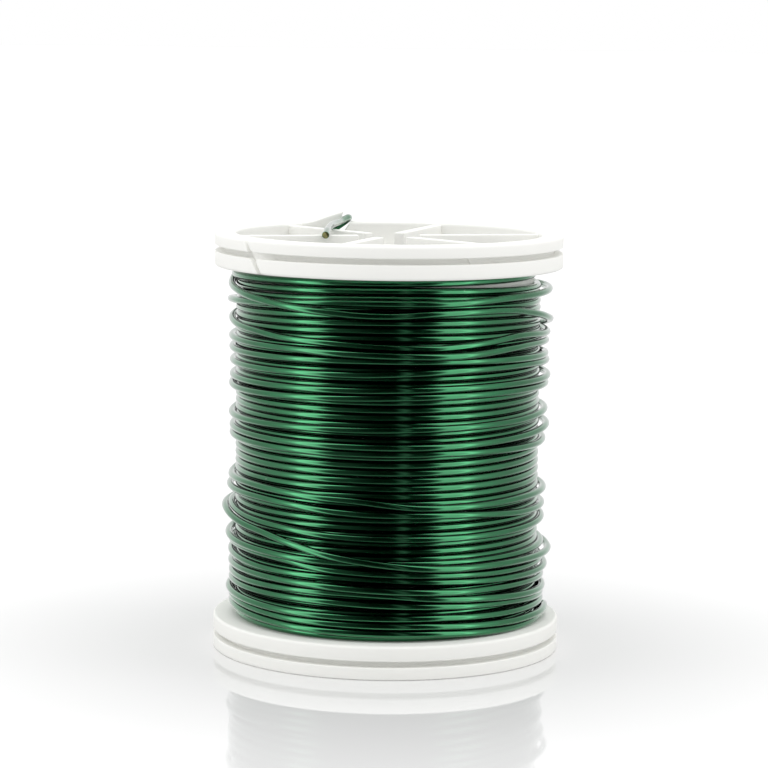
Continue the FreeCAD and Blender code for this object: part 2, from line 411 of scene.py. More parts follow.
def combine(piece, others, operation):
    """Cuts other solids from a piece, or joins them to it, and leaves a plain mesh."""
    for other in others:
        modifier = piece.modifiers.new(other.name, "BOOLEAN")
        modifier.operation = operation
        modifier.solver = "EXACT"
        modifier.object = other
    name = piece.name
    piece.name = name + "_work"
    plain = settled_mesh(piece, name)
    for other in others:
        bpy.data.objects.remove(other)
    return plain


# The moulding

FLANGE_SEGMENTS = 288
BARREL_SEGMENTS = 192
# How much rounder than the other edges the rim's outer edge is, at the upper and at the lower flange
UPPER_RIM_EDGE = 1.2
LOWER_RIM_EDGE = 0.55

# The slits lean as they go down, and open at the flange's face with a small rounded edge
SLIT_SLANT = math.tan(math.radians(36.0))
SLIT_EDGE = 0.16
FRONT_SLIT = 216.3
CATCH_NOTCH = 109.8
# Name, disc, angle, width, depth, and the edges' radii (below, above) at the left and at the right
SLITS = (
    ("front_slit", "outer", FRONT_SLIT, 0.4, 0.5, (0.2, 0.3), (0.6, 0.3)),
    ("front_notch", "inner", FRONT_SLIT, 0.5, 0.55, (0.25, 0.2), (0.25, 0.6)),
    ("catch_notch", "inner", CATCH_NOTCH, 0.94, 1.1, (0.25, 0.2), (0.25, 0.2)),
)
FILLET_STEPS = 6
# How far cutters stand out: before a face that they open, at the rim, and into the groove
CUTTER_START = 0.4
CUTTER_REACH = 0.9
CUTTER_OVERLAP = 0.1

# Blocks left standing in the groove: first and last angle, how far the face lies under the rim's, how far
# they run into the discs, and how far the face sinks towards its last angle
GROOVE_PADS = ((218.0, 228.4, 0.25, 0.15, 0.7), (296.4, 303.4, 0.78, 0.12, 0.0))
PAD_STEPS = 8
PAD_ROOT = 0.3
PAD_SLANT = 0.6

# The catch tongue, cut from the outer disc: the angles of its root, its tip and the wall beyond the tip
TONGUE_ROOT = 126.0
TONGUE_TIP = 104.2
TIP_WALL = 103.2
TONGUE_PLACE_DEPTH = 3.0
TONGUE_SECTIONS = 48
# Degrees per millimetre of radius that keep the tip and the wall in line with the front
SKEW = 1.15
# The tongue curves up over the bend's length and runs straight on. Its tip is rounded and swept back below
BEND_LENGTH = 2.0
BEND_ANGLE = 15.2
TIP_ROUNDING = 0.16
TIP_DIP = 0.4
TIP_SWEEP = 0.55


def flange_levels(sizes):
    """The groove's top, its bottom and its floor's radius, in the upper flange."""
    groove_top = SPOOL_HEIGHT - sizes.disc_thickness / MM
    return groove_top, groove_top - sizes.groove_width / MM, FLANGE_RADIUS - sizes.groove_depth / MM


def flange_outline(sizes, rim_edge):
    """The section of the upper flange, from the winding's side up. rim_edge scales the rim's rounding."""
    top = SPOOL_HEIGHT
    groove_top, groove_bottom, floor = flange_levels(sizes)
    rim_inner = FLANGE_RADIUS - sizes.rim_width / MM
    bore = BARREL_RADIUS - sizes.barrel_wall / MM
    recess = top - sizes.recess_depth / MM
    e = sizes.edge_rounding / MM
    return rounded_outline(
        [
            (bore, WINDING_TOP, 0),
            (FLANGE_RADIUS, WINDING_TOP, e),
            (FLANGE_RADIUS, groove_bottom, 0.3 * e),
            (floor, groove_bottom, 0.1),
            (floor, groove_top, 0.1),
            (FLANGE_RADIUS, groove_top, 0.4 * e),
            (FLANGE_RADIUS, top, rim_edge * e),
            (rim_inner, top, 1.2 * e),
            (rim_inner, recess, 0.25),
            (bore, recess, 0.15),
        ]
    )


def fillet_flare(depth, radius):
    """How far a rounded edge opens a slit's wall at a depth under the face."""
    if radius <= 0 or depth >= radius:
        return 0.0
    return radius - math.sqrt(max(0.0, radius**2 - (radius - max(depth, 0.0)) ** 2))


def fillet_rows(face, inward, radius):
    """Levels that follow a rounded edge, from beyond its face to where the wall is plain."""
    rows = [face - CUTTER_START * inward]
    for step in range(FILLET_STEPS + 1):
        rows.append(face + inward * radius * (1 - math.cos(math.radians(90 / FILLET_STEPS * step))))
    return rows


def leaning(angle, z):
    """A slit's angle at a level: it leans as it goes down."""
    return angle + math.degrees((SPOOL_HEIGHT - z) * SLIT_SLANT / FLANGE_RADIUS)


def slit_walls(angle, width, low_face, high_face, left_edges, right_edges):
    """The two walls of a leaning slit through one disc, with edges rounded by (lower, upper) radii."""

    def walls(z, r):
        opened = []
        for lower, upper in (left_edges, right_edges):
            flare = max(
                fillet_flare(z - low_face, lower), fillet_flare(high_face - z, upper),
                fillet_flare(FLANGE_RADIUS - r, SLIT_EDGE)
            )
            opened.append(math.degrees((width / 2 + flare) / FLANGE_RADIUS))
        middle = leaning(angle, z)
        return middle - opened[0], middle + opened[1]

    return walls


def slit_cutter(name, wall_angles, rows, floor_radius, columns=1):
    """A closed solid between two slit walls. wall_angles gives both walls' angles at a level and radius."""
    levels = sorted(set(round(v, 4) for v in rows))
    radii = [floor_radius, (floor_radius + FLANGE_RADIUS) / 2, FLANGE_RADIUS + CUTTER_REACH]
    radii = sorted(set(round(r, 4) for r in radii + fillet_rows(FLANGE_RADIUS, -1, SLIT_EDGE)))
    last = (columns, len(levels) - 1, len(radii) - 1)
    vertices = []
    numbers = {}

    def corner(*spot):
        if spot not in numbers:
            column, level, radius = spot
            z, r = levels[level], radii[radius]
            first, second = wall_angles(z, r)
            numbers[spot] = len(vertices)
            vertices.append(cylinder_point(r, first + (second - first) * column / columns, z))
        return numbers[spot]

    faces = []
    for fixed in range(3):
        u, v = [axis for axis in range(3) if axis != fixed]
        for side in (0, last[fixed]):
            for a in range(last[u]):
                for b in range(last[v]):
                    spots = []
                    for du, dv in ((0, 0), (1, 0), (1, 1), (0, 1)):
                        spot = [side] * 3
                        spot[u], spot[v] = a + du, b + dv
                        spots.append(corner(*spot))
                    faces.append(spots)
    return moulded(name, vertices, faces)


def groove_pad(start, end, below, low, high, inner, slope):
    """A block left standing in the groove, whose face may slope down to the groove's floor."""
    face = FLANGE_RADIUS - below
    outline = rounded_outline([(inner, low, 0), (face, low, 0), (face, high, 0), (inner, high, 0)])
    vertices = []
    for step in range(PAD_STEPS + 1):
        sink = slope * (step / PAD_STEPS) ** 2
        for point in outline:
            slant = (high - point.y) * PAD_SLANT
            angle = start + (end - start) * step / PAD_STEPS + math.degrees(slant / FLANGE_RADIUS)
            radius = point.x - sink if point.x > inner else point.x
            vertices.append(cylinder_point(radius, angle, point.y))
    return moulded("groove_pad", vertices, closed_strip(len(outline), PAD_STEPS))


def tongue_place_walls(z, r):
    """The wall beyond the tongue's tip, with its edges rounded, and the tongue's root."""
    edge = max(fillet_flare(SPOOL_HEIGHT - z, 0.15), fillet_flare(FLANGE_RADIUS - r, SLIT_EDGE))
    wall = leaning(TIP_WALL, z) + (FLANGE_RADIUS - r) * SKEW
    return wall - math.degrees(edge / FLANGE_RADIUS), TONGUE_ROOT


class SPOOL_OT_upper_flange(bpy.types.Operator):
    """Upper flange with its groove, the leaning slits, the wire notch and the place of the catch tongue"""

    bl_idname = "wire_spool.upper_flange"
    bl_label = "Upper Flange"

    def execute(self, context):
        sizes = context.scene.spool_sizes
        groove_top, groove_bottom, floor = flange_levels(sizes)
        ring = turned_ring(flange_outline(sizes, UPPER_RIM_EDGE), FLANGE_SEGMENTS)
        flange = moulded("upper_flange_moulding", *ring)
        pads = []
        for start, end, below, overlap, slope in GROOVE_PADS:
            low, high = groove_bottom - overlap, groove_top + overlap
            pads.append(groove_pad(start, end, below, low, high, floor - PAD_ROOT, slope))
        flange = combine(flange, pads, "UNION")

        middle = (groove_top + groove_bottom) / 2
        top_rows = fillet_rows(SPOOL_HEIGHT, -1, 0.3)
        outer_rows = [middle - CUTTER_OVERLAP] + fillet_rows(groove_top, 1, 0.6)[1:] + top_rows
        inner_rows = fillet_rows(WINDING_TOP, 1, 0.25) + fillet_rows(groove_bottom, -1, 0.6)[1:]
        inner_rows.append(middle + CUTTER_OVERLAP)
        discs = {
            "outer": (groove_top, SPOOL_HEIGHT, outer_rows),
            "inner": (WINDING_TOP, groove_bottom, inner_rows),
        }
        cutters = []
        for name, disc, angle, width, depth, left_edges, right_edges in SLITS:
            low, high, rows = discs[disc]
            walls = slit_walls(angle, width, low, high, left_edges, right_edges)
            cutters.append(slit_cutter(name, walls, rows, FLANGE_RADIUS - depth))
        rows = [groove_bottom - 0.02] + fillet_rows(groove_top, 1, 0.2)[1:] + top_rows
        back = FLANGE_RADIUS - TONGUE_PLACE_DEPTH
        cutters.append(slit_cutter("tongue_place", tongue_place_walls, rows, back, 12))
        flange = combine(flange, cutters, "DIFFERENCE")
        finish_mesh(flange.data)
        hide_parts("upper_flange")
        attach(flange, "spool")
        return {"FINISHED"}


class SPOOL_OT_lower_flange(bpy.types.Operator):
    """Lower flange: the same two discs and groove, without slits, that the spool stands on"""

    bl_idname = "wire_spool.lower_flange"
    bl_label = "Lower Flange"

    def execute(self, context):
        upright = flange_outline(context.scene.spool_sizes, LOWER_RIM_EDGE)
        outline = [Vector((p.x, SPOOL_HEIGHT - p.y)) for p in upright]
        flange = moulded("lower_flange_moulding", *turned_ring(outline, FLANGE_SEGMENTS))
        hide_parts("lower_flange")
        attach(flange, "spool")
        return {"FINISHED"}


def bent(reach, height, glow_with_painted_shade):
    """Where a point of the tongue goes when it curves up over the bend's length and then runs straight."""
    radius = BEND_LENGTH / glow_with_painted_shade
    turn = min(reach / radius, glow_with_painted_shade)
    along = radius * math.sin(turn)
    up = radius * (1 - math.cos(turn))
    beyond = max(0.0, reach - BEND_LENGTH)
    along += beyond * math.cos(turn) - height * math.sin(turn)
    up += beyond * math.sin(turn) + height * math.cos(turn)
    return along, up


class SPOOL_OT_catch_tongue(bpy.types.Operator):
    """Catch tongue: a strip of the outer disc that bends up from its root and presses on the wire"""

    bl_idname = "wire_spool.catch_tongue"
    bl_label = "Catch Tongue"

    def execute(self, context):
        sizes = context.scene.spool_sizes
        thickness = sizes.disc_thickness / MM
        low = SPOOL_HEIGHT - thickness
        inner = FLANGE_RADIUS - sizes.rim_width / MM
        e = sizes.edge_rounding / MM
        outline = rounded_outline(
            [
                (inner, low, 0.1), (FLANGE_RADIUS, low, 0.7 * e),
                (FLANGE_RADIUS, SPOOL_HEIGHT, 1.2 * e), (inner, SPOOL_HEIGHT, 0.7 * e),
            ]
        )
        middle = Vector(((inner + FLANGE_RADIUS) / 2, (low + SPOOL_HEIGHT) / 2))
        vertices = []
        for step in range(TONGUE_SECTIONS + 1):
            share = step / TONGUE_SECTIONS
            for point in outline:
                depth = SPOOL_HEIGHT - point.y
                tip = leaning(TONGUE_TIP, point.y) + (FLANGE_RADIUS - point.x) * SKEW
                tip += (TIP_SWEEP * depth) ** 3
                run = math.radians(TONGUE_ROOT - tip) * middle.x
                reach = run * share
                under = max(0.0, TIP_ROUNDING - (run - reach))
                inset = TIP_ROUNDING - math.sqrt(max(0.0, TIP_ROUNDING**2 - under**2))
                shrink = 1 - inset / thickness
                flat = middle + (point - middle) * shrink
                flat.y = SPOOL_HEIGHT - TIP_DIP * inset - depth * shrink
                along, up = bent(reach, flat.y - low, math.radians(BEND_ANGLE))
                angle = TONGUE_ROOT - math.degrees(along / middle.x)
                vertices.append(cylinder_point(flat.x, angle, low + up))
        tongue = moulded("catch_tongue_strip", vertices, closed_strip(len(outline), TONGUE_SECTIONS))
        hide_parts("catch_tongue")
        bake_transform(tongue)
        return {"FINISHED"}


class SPOOL_OT_barrel(bpy.types.Operator):
    """Barrel: the thin wall between the flanges that the wire is wound on"""

    bl_idname = "wire_spool.barrel"
    bl_label = "Barrel"

    def execute(self, context):
        bore = BARREL_RADIUS - context.scene.spool_sizes.barrel_wall / MM
        outline = [
            Vector((bore, WINDING_BOTTOM)), Vector((BARREL_RADIUS, WINDING_BOTTOM)),
            Vector((BARREL_RADIUS, WINDING_TOP)), Vector((bore, WINDING_TOP)),
        ]
        barrel = moulded("barrel_wall", *turned_ring(outline, BARREL_SEGMENTS))
        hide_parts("barrel")
        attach(barrel, "spool")
        return {"FINISHED"}


# Geometry node trees


def new_tree(name, inputs):
    """A geometry node tree with named inputs, and its first and last node."""
    tree = bpy.data.node_groups.new(name, "GeometryNodeTree")
    tree.interface.new_socket("Geometry", in_out="INPUT", socket_type="NodeSocketGeometry")
    for label, kind in inputs:
        tree.interface.new_socket(label, in_out="INPUT", socket_type=kind)
    tree.interface.new_socket("Geometry", in_out="OUTPUT", socket_type="NodeSocketGeometry")
    return tree, tree.nodes.new("NodeGroupInput"), tree.nodes.new("NodeGroupOutput")


def end_tree(tree, geometry, material, last):
    """Ends a tree with Realize Instances and Set Material."""
    real = add_node(tree, "GeometryNodeRealizeInstances", {"Geometry": geometry})
    painted = add_node(tree, "GeometryNodeSetMaterial", {"Geometry": real.outputs[0], "Material": material})
    tree.links.new(painted.outputs[0], last.inputs[0])


def use_tree(piece, tree, values):
    """Adds the tree to a piece, with its inputs set by socket identifier."""
    modifier = piece.modifiers.new(tree.name, "NODES")
    modifier.node_group = tree
    for item in tree.interface.items_tree:
        if item.item_type == "SOCKET" and item.in_out == "INPUT" and item.name in values:
            modifier[item.identifier] = values[item.name]


def ribs_tree():
    """Copies one rib round the axis."""
    tree, first, last = new_tree(
        "Ribs round the axis",
        [("Count", "NodeSocketInt"), ("First Angle", "NodeSocketFloat"), ("Plastic", "NodeSocketMaterial")],
    )
    points = add_node(tree, "GeometryNodePoints", {"Count": first.outputs["Count"]})
    index = tree.nodes.new("GeometryNodeInputIndex").outputs[0]
    step = math_node(tree, "DIVIDE", 2 * math.pi, first.outputs["Count"])
    angle = math_node(tree, "ADD", math_node(tree, "MULTIPLY", index, step), first.outputs["First Angle"])
    turn = add_node(tree, "ShaderNodeCombineXYZ", {"Z": angle}).outputs[0]
    copies = add_node(
        tree, "GeometryNodeInstanceOnPoints",
        {"Points": points.outputs[0], "Instance": first.outputs["Geometry"], "Rotation": turn}
    )
    end_tree(tree, copies.outputs[0], first.outputs["Plastic"], last)
    return tree


def tube_tree():
    """Makes a round wire along a path, and keeps the distance along it."""
    tree, first, last = new_tree(
        "Wire along its path",
        [("Wire Diameter", "NodeSocketFloat"), ("Sides", "NodeSocketInt"), ("Enamel", "NodeSocketMaterial")],
    )
    distance = tree.nodes.new("GeometryNodeSplineParameter").outputs["Length"]
    marked = add_node(
        tree, "GeometryNodeStoreNamedAttribute",
        {"Geometry": first.outputs["Geometry"], "Name": "along", "Value": distance},
        data_type="FLOAT", domain="POINT"
    )
    radius = math_node(tree, "MULTIPLY", first.outputs["Wire Diameter"], 0.5)
    circle = add_node(
        tree, "GeometryNodeCurvePrimitiveCircle", {"Resolution": first.outputs["Sides"], "Radius": radius},
        mode="RADIUS"
    )
    tube = add_node(
        tree, "GeometryNodeCurveToMesh",
        {"Curve": marked.outputs[0], "Profile Curve": circle.outputs["Curve"], "Fill Caps": True}
    )
    soft = add_node(tree, "GeometryNodeSetShadeSmooth", {"Geometry": tube.outputs[0], "Shade Smooth": True})
    end_tree(tree, soft.outputs[0], first.outputs["Enamel"], last)
    return tree


# The ribs run a little into the barrel and the rims. Their inner corners and all their edges are rounded
RIB_OVERLAP = 0.1
RIB_CORNER = 0.12
RIB_EDGE = 0.08


class SPOOL_OT_ribs(bpy.types.Operator):
    """Ribs: radial plates inside the barrel that reach from rim to rim and leave the spindle's passage"""

    bl_idname = "wire_spool.ribs"
    bl_label = "Ribs"

    def execute(self, context):
        sizes = context.scene.spool_sizes
        low, high = rib_low.z, rib_high.z
        passage = sizes.spindle_passage / MM / 2
        bore = BARREL_RADIUS - sizes.barrel_wall / MM + RIB_OVERLAP
        rim = FLANGE_RADIUS - sizes.rim_width / MM + RIB_OVERLAP
        recess = sizes.recess_depth / MM - RIB_OVERLAP / 2
        outline = rounded_outline(
            [
                (passage, low, RIB_CORNER), (rim, low, 0), (rim, recess, 0), (bore, recess, 0),
                (bore, SPOOL_HEIGHT - recess, 0), (rim, SPOOL_HEIGHT - recess, 0), (rim, high, 0),
                (passage, high, RIB_CORNER),
            ]
        )
        half = sizes.rib_thickness / MM / 2
        vertices = [Vector((p.x, side, p.y)) for side in (-half, half) for p in outline]
        rib = moulded("rib_pattern", vertices, closed_strip(len(outline), 1))
        edge = rib.modifiers.new("Rounded edges", "BEVEL")
        edge.width = RIB_EDGE * MM
        edge.segments = 3
        edge.limit_method = "ANGLE"
        edge.angle_limit = math.radians(50)
        plastic = made("white_plastic", white_plastic)
        values = {"Count": sizes.rib_count, "First Angle": sizes.first_rib, "Plastic": plastic}
        use_tree(rib, ribs_tree(), values)
        ribs = settled_mesh(rib, "ribs")
        finish_mesh(ribs.data)
        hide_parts(*["rib_%d" % (n + 1) for n in range(6)])
        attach(ribs, "spool")
        return {"FINISHED"}


# The winding. The wire goes round clockwise seen from above. One position is one turn, and a whole
# number is at +X, the picture's right; a half is at -X, its left.

STEPS_PER_TURN = 96
LAYER_TURNS = 46
# The first layer's tube is a little full, so that no light comes through where the turns touch
LOWER_FULLNESS = 1.06
# Room between the winding and the flanges, and between the first layer's even turns and the upper flange
FLANGE_ROOM = 0.01
TOP_ROOM = 0.08
UNEVENNESS = 0.006
# Where the first layer is parted: after which wire from below, and how far, at the right and at the left
RIGHT_ROOM = tuple((wire, 0.058) for wire in range(5, 25)) + ((44, 0.58),)
LEFT_ROOM = tuple((wire, 0.053) for wire in range(1, 26)) + ((42, 0.12), (43, 0.12), (44, 0.12))
# The upper turns as they were wound: height at the right, at the left, and at angles between them
UPPER_TURNS = (
    (3.4, 4.3), (4.1, 5.0), (5.0, 5.65), (5.6, 6.7, (289, 6.4)), (6.3, 7.4, (289, 7.0), (252, 7.5)),
    (7.1, 8.2, (289, 7.7)), (8.2, 9.2, (289, 8.6), (252, 8.9)),
    (8.8, 10.2, (289, 9.2), (252, 9.4), (231, 9.9)),
    (10.12, 10.8, (290, 10.1), (250, 10.4)), (12.68, 13.6, (289, 12.55), (252, 12.65), (218, 13.1)),
    (9.4, 13.4, (315, 9.8), (289, 9.98), (271, 10.35), (252, 10.9), (239, 11.45), (227, 12.0), (212, 12.5)),
    (13.7, 15.4, (289, 14.5), (252, 14.8), (212, 15.35)),
    (15.2, 16.1, (324, 15.35), (289, 15.3), (252, 16.0), (212, 16.3)),
    (19.8, 19.7, (270, 19.87)), (21.2, 20.4, (270, 20.53)), (22.6, 21.8, (270, 22.3), (233, 22.1)),
    (24.8, 24.5, (288, 25.2)), (25.7, 25.4, (288, 25.8)), (27.1, 26.7, (328, 27.4), (288, 27.2)),
    (27.7, 27.6, (288, 27.9)), (28.7, 28.9, (328, 29.0), (288, 28.5)), (29.6, 30.6, (328, 30.0), (288, 29.3)),
    (33.6, 32.1, (328, 33.45), (288, 33.2), (249, 33.2), (211, 32.6), (32, 29.2)),
    (30.4, 33.8, (322, 32.0), (309, 32.2), (288, 32.05), (272, 31.9), (247, 32.2), (225, 32.8), (211, 33.1)),
)
# A turn slides up or down from its height towards a lower seat, by these steps, so far, and at this cost
SLIDE_STEPS = (-0.015, -0.0075, 0.0, 0.0075, 0.015)
SLIDE_LIMIT = 0.28
SLIDE_COST = 0.35
# Over how many steps to each side the stiff wire evens its radius out
STIFF_STEPS = 4
# Loose turns: which one, at what angle, and how far it stands off
LOOSE_TURNS = (
    (6, 0, 0.40), (10, 0, 0.15), (12, 0, 0.20), (14, 0, 0.35), (15, 0, 0.15), (16, 0, 0.20), (17, 0, 0.40),
    (18, 0, 0.25), (20, 0, 0.20), (21, 0, 0.30), (22, 0, 0.45), (23, 2, 0.62), (11, 180, 0.15),
    (22, 180, 0.1),
)
LOOSE_FIRST_TURNS = ((0, 180, 0.4),)
LOOSE_SPREAD = 0.085
# The inner end comes out of the barrel's wall in so many steps, and the last turn below rises in so many
INNER_END_STEPS = 8
INNER_END_DEPTH = 0.8
RISE_STEPS = 14
# Where the upper turns end and the wire runs out to the notch, and the steps in which they draw near
LEAD_OUT_ANGLE = 140.0
LEAD_OUT_HEIGHT = 34.62
LEAD_OUT_RADIUS = 14.36
LEAD_OUT_STEPS = 10
# The free end: up the leaning notch, under the tongue, over the rim and a rib, and forward to its cut face
FREE_END = (
    (-9.5, 11.25, 34.68), (-8.15, 12.85, 34.82), (-7.40, 13.45, 35.35), (-6.72, 13.78, 36.25),
    (-6.10, 14.05, 37.0), (-5.0, 14.55, 37.82), (-4.22, 14.85, 38.38), (-3.93, 14.66, 38.67),
    (-4.0, 14.05, 38.75), (-4.35, 12.95, 38.65), (-4.68, 11.8, 38.56), (-4.97, 9.9, 38.55),
    (-5.27, 7.7, 38.57), (-5.46, 5.5, 38.58), (-5.58, 2.9, 38.58), (-5.65, 0.6, 38.56),
    (-5.70, -1.0, 38.53), (-5.74, -2.2, 38.43), (-5.78, -3.1, 38.33),
)
FREE_END_STEPS = 10


def eased(share):
    """A share from 0 to 1 that starts and ends gently."""
    return share * share * (3 - 2 * share)


def between(start, leave, end, arrive, t):
    """A value or point on the way from start to end, with the slopes at which it leaves and arrives."""
    return (
        start * (1 + 2 * t) * (1 - t) ** 2 + leave * t * (1 - t) ** 2
        + end * t * t * (3 - 2 * t) + arrive * t * t * (t - 1)
    )


def smooth_run(knots):
    """A function that passes smoothly through (position, value) knots without overshooting."""
    slopes = [0.0]
    for (x0, y0), (x1, y1), (x2, y2) in zip(knots, knots[1:], knots[2:]):
        before = (y1 - y0) / (x1 - x0)
        after = (y2 - y1) / (x2 - x1)
        slopes.append(0.0 if before * after <= 0 else 2 * before * after / (before + after))
    slopes.append(0.0)

    def value(position):
        i = 0
        while i < len(knots) - 2 and knots[i + 1][0] < position:
            i += 1
        (x0, y0), (x1, y1) = knots[i], knots[i + 1]
        width = x1 - x0
        t = min(max((position - x0) / width, 0.0), 1.0)
        return between(y0, slopes[i] * width, y1, slopes[i + 1] * width, t)

    return value


def wire_radius():
    return bpy.context.scene.wire_sizes.diameter / MM / 2


def winding_limits():
    """The lowest and the highest that a wire's middle may lie."""
    return WINDING_BOTTOM + wire_radius() + FLANGE_ROOM, WINDING_TOP - wire_radius() - FLANGE_ROOM


def parted(wire, rooms):
    """How far the rooms below a wire of the first layer raise it."""
    return sum(width for after, width in rooms if wire > after)


def first_layer_heights():
    """Heights of the first layer, wound down from the top: close at the sides, even at front and back."""
    pitch = 2 * wire_radius()
    lowest = winding_limits()[0]
    even = (WINDING_TOP - wire_radius() - TOP_ROOM - lowest) / (LAYER_TURNS - 1)
    chance = random.Random(7)
    knots = []
    for j in range(LAYER_TURNS):
        wire = LAYER_TURNS - 1 - j
        quarters = (
            lowest + pitch * (wire + 0.25) + parted(wire, RIGHT_ROOM),
            lowest + even * wire,
            lowest + pitch * (wire - 0.25) + parted(wire, LEFT_ROOM),
            lowest + even * (wire - 0.5),
        )
        for quarter, height in enumerate(quarters):
            knots.append((j + quarter / 4, max(height + chance.uniform(-UNEVENNESS, UNEVENNESS), lowest)))
    knots.append((LAYER_TURNS, lowest))
    return smooth_run(knots)


def upper_turn_heights(end_position, end_height):
    """Heights of the upper turns, wound back up to the notch."""
    knots = []
    for i, (right, left, *others) in enumerate(UPPER_TURNS):
        knots.append((i, right))
        for angle, height in others:
            knots.append((i + (360 - angle) / 360, height))
        knots.append((i + 0.5, left))
    knots.append((end_position, end_height))
    return smooth_run(sorted(knots))


def seat_radius(laid, z, low):
    """How far out a wire rests at a height, on the wires already there."""
    d = 2 * wire_radius()
    seat = low
    for other_z, other_r in laid:
        gap = abs(z - other_z)
        if gap < d:
            seat = max(seat, other_r + math.sqrt(d * d - gap * gap))
    return seat


def lay_winding():
    """Lays both layers turn by turn. Gives the points of each, with every turn at rest on those below."""
    rest = BARREL_RADIUS + wire_radius()
    lowest, highest = winding_limits()
    sections = [[] for _ in range(STEPS_PER_TURN)]
    first = []
    heights = first_layer_heights()
    for step in range(LAYER_TURNS * STEPS_PER_TURN + 1):
        z = min(heights(step / STEPS_PER_TURN), highest)
        first.append((step, rest, z))
        sections[-step % STEPS_PER_TURN].append((z, rest))

    end_turn = len(UPPER_TURNS) - 0.5 + (180.0 - LEAD_OUT_ANGLE) / 360.0
    heights = upper_turn_heights(end_turn, LEAD_OUT_HEIGHT)
    total = int(end_turn * STEPS_PER_TURN)
    upper = []
    slide = 0.0
    for start in range(0, total + 1, STEPS_PER_TURN):
        turn = []
        for step in range(start, min(start + STEPS_PER_TURN, total + 1)):
            section = sections[-step % STEPS_PER_TURN]
            wish = heights(step / STEPS_PER_TURN)
            choices = []
            for change in SLIDE_STEPS:
                moved = min(max(slide + change, -SLIDE_LIMIT), SLIDE_LIMIT)
                z = min(max(wish + moved, lowest), highest)
                choices.append((seat_radius(section, z, rest) + SLIDE_COST * moved**2, moved, z))
            _, slide, z = min(choices)
            turn.append([step, seat_radius(section, z, rest), z])
        calm_radii(turn, upper)
        for step, r, z in turn:
            sections[-step % STEPS_PER_TURN].append((z, r))
            upper.append((step, r, z))
    first, upper = loosened(first, LOOSE_FIRST_TURNS), loosened(upper, LOOSE_TURNS)
    return joined(first, upper), upper


def calm_radii(turn, before):
    """Lets a stiff wire ride over bumps: no radius falls at once, and steps are evened out."""
    radii = [r for _, r, _ in before[-2 * STIFF_STEPS:]] + [r for _, r, _ in turn]
    offset = len(radii) - len(turn)
    wide = [max(radii[max(0, i - STIFF_STEPS):i + STIFF_STEPS + 1]) for i in range(len(radii))]
    for i in range(len(turn)):
        window = wide[max(0, i + offset - STIFF_STEPS):i + offset + STIFF_STEPS + 1]
        turn[i][1] = sum(window) / len(window)


def loosened(layer, loose_turns):
    """Stands a layer's loose turns off the winding."""
    result = []
    for step, r, z in layer:
        for turn, angle, extra in loose_turns:
            away = step / STEPS_PER_TURN - (turn + (-angle % 360) / 360.0)
            r += extra * math.exp(-((away / LOOSE_SPREAD) ** 2))
        result.append((step, r, z))
    return result


def joined(first, upper):
    """Brings the inner end out of the barrel's wall, and leads the last turn below into the first above."""
    for i in range(INNER_END_STEPS):
        step, r, z = first[i]
        first[i] = (step, r - INNER_END_DEPTH * (1 - i / INNER_END_STEPS) ** 2, z)
    for i in range(RISE_STEPS + 1):
        share = eased(i / RISE_STEPS)
        step, r, z = first[i - RISE_STEPS - 1]
        first[i - RISE_STEPS - 1] = (step, r + (upper[0][1] - r) * share, z + (upper[0][2] - z) * share)
    return first


def winding_point(step, r, z):
    return cylinder_point(r, -360.0 * step / STEPS_PER_TURN, z)


def line_through(points):
    """A smooth line through points, with bends no tighter than their spacing allows."""
    padded = [points[0] * 2 - points[1]] + points + [points[-1] * 2 - points[-2]]
    line = []
    for a, b, c, d in zip(padded, padded[1:], padded[2:], padded[3:]):
        spans = [max((q - p).length, 1e-6) ** 0.5 for p, q in ((a, b), (b, c), (c, d))]
        leave = ((b - a) / spans[0] - (c - a) / (spans[0] + spans[1]) + (c - b) / spans[1]) * spans[1]
        arrive = ((c - b) / spans[1] - (d - b) / (spans[1] + spans[2]) + (d - c) / spans[2]) * spans[1]
        for step in range(FREE_END_STEPS):
            line.append(between(b, leave, c, arrive, step / FREE_END_STEPS))
    return line + [points[-1]]


def wire_tube(name, points, sides, fullness=1.0):
    """A wire along points in millimetres, as a plain mesh."""
    sizes = bpy.context.scene.wire_sizes
    curve = bpy.data.curves.new(name + "_path", "CURVE")
    curve.dimensions = "3D"
    spline = curve.splines.new("POLY")
    spline.points.add(len(points) - 1)
    for point, place in zip(spline.points, points):
        point.co = (*(Vector(place) * MM), 1.0)
    path = placed(name + "_path", curve)
    tree = bpy.data.node_groups.get("Wire along its path") or tube_tree()
    enamel = made("green_enamel", green_enamel)
    use_tree(path, tree, {"Wire Diameter": sizes.diameter * fullness, "Sides": sides, "Enamel": enamel})
    return settled_mesh(path, name)


def bare_the_cut(tube, film):
    """Shows copper on the wire's cut face, inside the ring of enamel."""
    mesh = tube.data
    mesh.materials.append(made("cut_copper", cut_copper))
    work = bmesh.new()
    work.from_mesh(mesh)
    caps = [face for face in work.faces if len(face.verts) > 4]
    bmesh.ops.inset_individual(work, faces=caps, thickness=film, use_even_offset=True)
    for face in work.faces:
        if len(face.verts) > 4:
            face.material_index = 1
            face.smooth = False
    work.to_mesh(mesh)
    work.free()


def lead_out(run, end):
    """Draws the last steps of a run near to where the wire leaves the winding."""
    for i in range(LEAD_OUT_STEPS):
        weight = eased((i + 1) / LEAD_OUT_STEPS)
        there = run[-LEAD_OUT_STEPS + i]
        level = there.z + (end.z - run[-1].z) * weight
        radius = Vector(there.xy).length
        radius += (LEAD_OUT_RADIUS - Vector(run[-1].xy).length) * weight
        run[-LEAD_OUT_STEPS + i] = Vector((*(there.xy.normalized() * radius), level))


